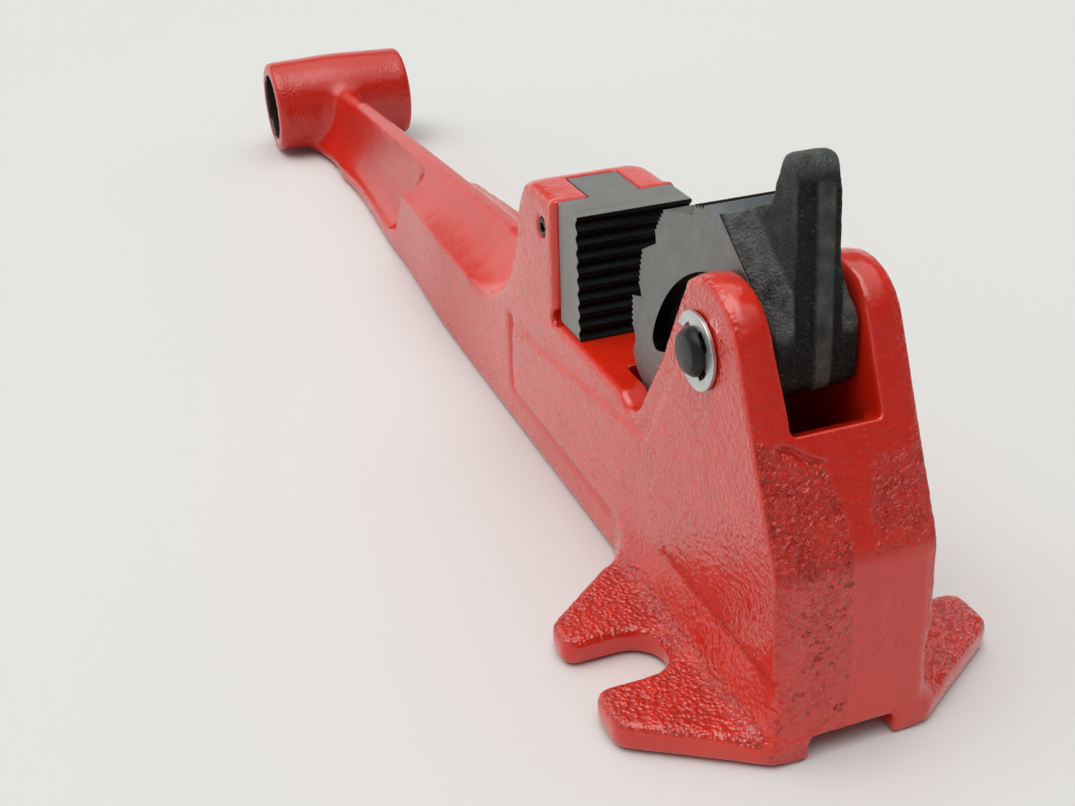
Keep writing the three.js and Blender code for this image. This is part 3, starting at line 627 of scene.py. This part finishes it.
def lathe_y(name, profile, axis_z, sides=96):
    """A turned piece about a line along Y. The profile is (radius, y) from one end to the other."""
    bm = bmesh.new()
    rows = []
    for radius, along in profile:
        if radius == 0:
            rows.append([bm.verts.new((0, along * MM, axis_z * MM))])
            continue
        rows.append([bm.verts.new((
            radius * math.cos(2 * math.pi * k / sides) * MM,
            along * MM,
            (axis_z + radius * math.sin(2 * math.pi * k / sides)) * MM)) for k in range(sides)])
    for row, following in zip(rows, rows[1:]):
        for k in range(sides):
            a, b = row[k % len(row)], row[(k + 1) % len(row)]
            c, d = following[(k + 1) % len(following)], following[k % len(following)]
            corners = []
            for vert in (a, b, c, d):
                if vert not in corners:
                    corners.append(vert)
            bm.faces.new(corners)
    bmesh.ops.recalc_face_normals(bm, faces=bm.faces)
    mesh = bpy.data.meshes.new(name)
    bm.to_mesh(mesh)
    bm.free()
    return link(name, mesh)


def sharpened(obj, angle):
    """Smooth shading, with a hard line at each edge that turns more than the angle in degrees."""
    mesh = obj.data
    bm = bmesh.new()
    bm.from_mesh(mesh)
    for edge in bm.edges:
        if len(edge.link_faces) == 2 and edge.calc_face_angle(0) > math.radians(angle):
            edge.smooth = False
    for face in bm.faces:
        face.smooth = True
    bm.to_mesh(mesh)
    bm.free()
    return obj


def pivot_pin(material, ends):
    half, groove = EAR_HALF + 3.4, EAR_HALF + 0.15
    groove_floor = PIN_RADIUS - 1.0
    side = [
        (PIN_RADIUS, 0), (PIN_RADIUS, groove), (groove_floor, groove), (groove_floor, groove + 1.1),
        (PIN_RADIUS - 0.1, groove + 1.1), (PIN_RADIUS, groove + 1.25),
        (PIN_RADIUS, half - 1.6), (PIN_RADIUS - 0.15, half - 1.2), (PIN_RADIUS - 1.0, half - 0.12),
        (PIN_RADIUS - 1.3, half), (0, half)]
    profile = [(r, -y) for r, y in reversed(side[1:])] + side
    obj = lathe_y("turned_pin", profile, PIN_Z)
    obj.data.materials.append(material)
    obj.data.materials.append(ends)
    for face in obj.data.polygons:
        face.material_index = 1 if abs(face.center.y) > (half - 0.02) * MM else 0
    return sharpened(placed(obj, False), 35)


def jaw_piece(ground, black):
    obj = solid_copy("fixed_jaw", "jaw_source")
    bm = bmesh.new()
    bm.from_mesh(obj.data)
    join_flats(bm)
    bm.to_mesh(obj.data)
    bm.free()
    mesh = bevelled(obj, 0.22, 25)
    mesh.materials.append(ground)
    mesh.materials.append(black)
    for face in mesh.polygons:
        tooth = face.normal.x > 0.25 and face.center.x > -73 * MM and abs(face.normal.y) < 0.6
        face.material_index = 1 if tooth else 0
    return placed(link("toothed_jaw", mesh), False)


# The scene

red = enamel()
iron = black_casting()
cam_ground = ground_steel("ground_cam", (0.23, 0.235, 0.23), (500.0, 60.0, 300.0))
cam_top = ground_steel("milled_cam_top", (0.12, 0.13, 0.14), (60.0, 500.0, 500.0))
jaw_ground = ground_steel("ground_jaw", (0.30, 0.305, 0.29), (900.0, 60.0, 60.0))
oxide = black_oxide()
tooth_black = black_oxide("tooth_black", (0.003, 0.003, 0.0035), 0.16)
zinc = bright_zinc()

body = casting()
body.data.materials.append(red)
finish_piece(body, "vise_body", "body_paint", "body_casting")

plate = toothed_plate(cam_ground, tooth_black, cam_top)
lever = cast_lever(iron)
finish_piece(plate, "cam", "cam_iron", "cam_lever")
finish_piece(lever, "cam", "cam_iron", "cam_lever")

pin = pivot_pin(oxide, black_oxide("pin_ends", (0.019, 0.021, 0.020)))
finish_piece(pin, "vise_body", "pin_steel", "pivot_pin")
for label, side in (("front", -1), ("rear", 1)):
    ring = e_ring("e_ring_" + label, side, zinc)
    finish_piece(ring, "vise_body", "ring_zinc", "retaining_ring_" + label)

jaw = jaw_piece(jaw_ground, tooth_black)
finish_piece(jaw, "vise_body", "jaw_steel", "fixed_jaw")

nodes["jaw_roll_pin"].data.materials.clear()
nodes["jaw_roll_pin"].data.materials.append(oxide)


# Camera, at the place worked out from the photograph

CAMERA_LENS = 46.41
CAMERA_PLACE = (215.4, -127.3, 194.4)
CAMERA_YAW, CAMERA_PITCH, CAMERA_ROLL = -0.3398, 0.4931, -0.0387


def photo_camera():
    data = bpy.data.cameras.new("camera")
    data.sensor_fit = "HORIZONTAL"
    data.sensor_width = 36.0
    data.lens = CAMERA_LENS
    obj = bpy.data.objects.new("camera", data)
    bpy.context.scene.collection.objects.link(obj)
    yaw, pitch, roll = CAMERA_YAW, CAMERA_PITCH, CAMERA_ROLL
    forward = Vector((-math.cos(yaw) * math.cos(pitch), -math.sin(yaw) * math.cos(pitch), -math.sin(pitch)))
    right = forward.cross(Vector((0, 0, 1))).normalized()
    upward = right.cross(forward)
    level_right = math.cos(roll) * right + math.sin(roll) * upward
    level_up = -math.sin(roll) * right + math.cos(roll) * upward
    turn = Matrix((level_right, level_up, -forward)).transposed()
    place = (Vector(CAMERA_PLACE) + Vector((PIN_X, 0, 0))) * MM
    obj.matrix_world = Matrix.Translation(place) @ turn.to_4x4()
    bpy.context.scene.camera = obj


photo_camera()


# Floor, lamps and world

def floor():
    mesh = bpy.data.meshes.new("floor")
    size = 6.0
    corners = [(-size, -size, 0), (size, -size, 0), (size, size, 0), (-size, size, 0)]
    mesh.from_pydata(corners, [], [(0, 1, 2, 3)])
    obj = link("floor", mesh)
    obj.location.z = -0.0004
    m = Nodes("floor_paper")
    grey = m.fit(m.noise(1.5, 2), 0.3, 0.7)
    m.link(m.mix(grey, (0.715, 0.715, 0.70), (0.73, 0.73, 0.715)), m.bsdf.inputs["Base Color"])
    m.set(Roughness=0.9, IOR=1.3, Specular_IOR_Level=0.2)
    mesh.materials.append(m.material)


def lamp(name, place, aim, size, power):
    data = bpy.data.lights.new(name, "AREA")
    data.shape = "RECTANGLE"
    data.size, data.size_y = size
    data.energy = power
    obj = bpy.data.objects.new(name, data)
    bpy.context.scene.collection.objects.link(obj)
    obj.location = place
    direction = Vector(aim) - Vector(place)
    obj.rotation_euler = direction.to_track_quat("-Z", "Y").to_euler()


def world():
    scene = bpy.context.scene
    scene.world = bpy.data.worlds.new("studio")
    scene.world.use_nodes = True
    tree = scene.world.node_tree
    tree.nodes.clear()

    def new(kind, **settings):
        node = tree.nodes.new(kind)
        for key, value in settings.items():
            setattr(node, key, value)
        return node

    def fade(value, low, high, to_low, to_high):
        node = new("ShaderNodeMapRange", interpolation_type="SMOOTHSTEP")
        for name, number in zip(("From Min", "From Max", "To Min", "To Max"), (low, high, to_low, to_high)):
            node.inputs[name].default_value = number
        tree.links.new(value, node.inputs["Value"])
        return node.outputs[0]

    def combine(operation, a, b):
        node = new("ShaderNodeMath", operation=operation)
        tree.links.new(a, node.inputs[0])
        tree.links.new(b, node.inputs[1])
        return node.outputs[0]

    split = new("ShaderNodeSeparateXYZ")
    sky = new("ShaderNodeTexCoord").outputs["Generated"]
    tree.links.new(sky, split.inputs[0])
    # Dim behind the camera, pale behind the vise and at its left, with wide soft light above and a soft box.
    room = fade(split.outputs["X"], -0.1, 0.6, 0.72, 0.28)
    left = fade(split.outputs["Y"], -0.2, 0.7, 1.40, 0.75)
    low_wall = fade(split.outputs["Z"], 0.3, 0.48, 1.0, 0.3)
    overhead = fade(split.outputs["Z"], 0.66, 0.8, 0.0, 0.95)
    toward = new("ShaderNodeVectorMath", operation="DOT_PRODUCT")
    tree.links.new(sky, toward.inputs[0])
    toward.inputs[1].default_value = (0.10, -0.20, 0.97)
    soft_box = fade(toward.outputs["Value"], 0.87, 0.93, 0.0, 1.95)
    wall = combine("MULTIPLY", combine("MULTIPLY", room, left), low_wall)
    strength = combine("ADD", combine("ADD", wall, overhead), soft_box)
    light = new("ShaderNodeBackground")
    light.inputs["Color"].default_value = (1.0, 1.0, 0.985, 1)
    tree.links.new(strength, light.inputs["Strength"])
    seen = new("ShaderNodeBackground")
    seen.inputs["Color"].default_value = (0.80, 0.80, 0.79, 1)
    mix = new("ShaderNodeMixShader")
    tree.links.new(new("ShaderNodeLightPath").outputs["Is Camera Ray"], mix.inputs[0])
    tree.links.new(light.outputs[0], mix.inputs[1])
    tree.links.new(seen.outputs[0], mix.inputs[2])
    tree.links.new(mix.outputs[0], new("ShaderNodeOutputWorld").inputs[0])


floor()
lamp("key", (-1.2, -2.4, 2.8), (0, 0, 0.03), (1.2, 1.2), 5.5)
world()
bpy.context.scene.view_settings.view_transform = "Standard"
